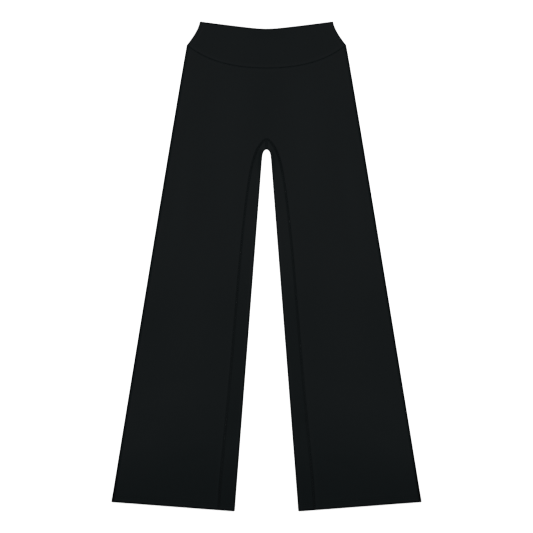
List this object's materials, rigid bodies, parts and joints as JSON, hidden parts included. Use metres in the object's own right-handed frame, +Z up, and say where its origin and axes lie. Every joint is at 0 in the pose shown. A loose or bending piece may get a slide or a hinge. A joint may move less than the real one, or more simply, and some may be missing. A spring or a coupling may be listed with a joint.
{
  "type": "yoga pants",
  "caption": "High-rise wide-leg yoga pants laid flat, with a contoured waistband, a seamless front and inner-leg panels from crotch to hem.",
  "frame": {"origin": "middle of the outline, on the underside, where the pants lie on the surface", "axes": "+X to the viewer's right with the front facing up (the wearer's left), +Y towards the waist, +Z up off the surface"},
  "size_m": [0.681, 1.0759, 0.0047],
  "materials": {
    "front_jersey": "matte black interlock jersey with a faint cool tone",
    "back_jersey": "matte black interlock jersey with a faint cool tone",
    "inner_leg_jersey": "matte black interlock jersey, a shade darker towards the hem",
    "waistband_jersey": "matte black interlock jersey, doubled"
  },
  "bodies": {
    "root": {"front_panel": "front_jersey", "back_panel_left": "back_jersey", "back_panel_right": "back_jersey", "inner_leg_left": "inner_leg_jersey", "inner_leg_right": "inner_leg_jersey", "waistband_front": "waistband_jersey", "waistband_back": "waistband_jersey"}
  },
  "joints": []
}
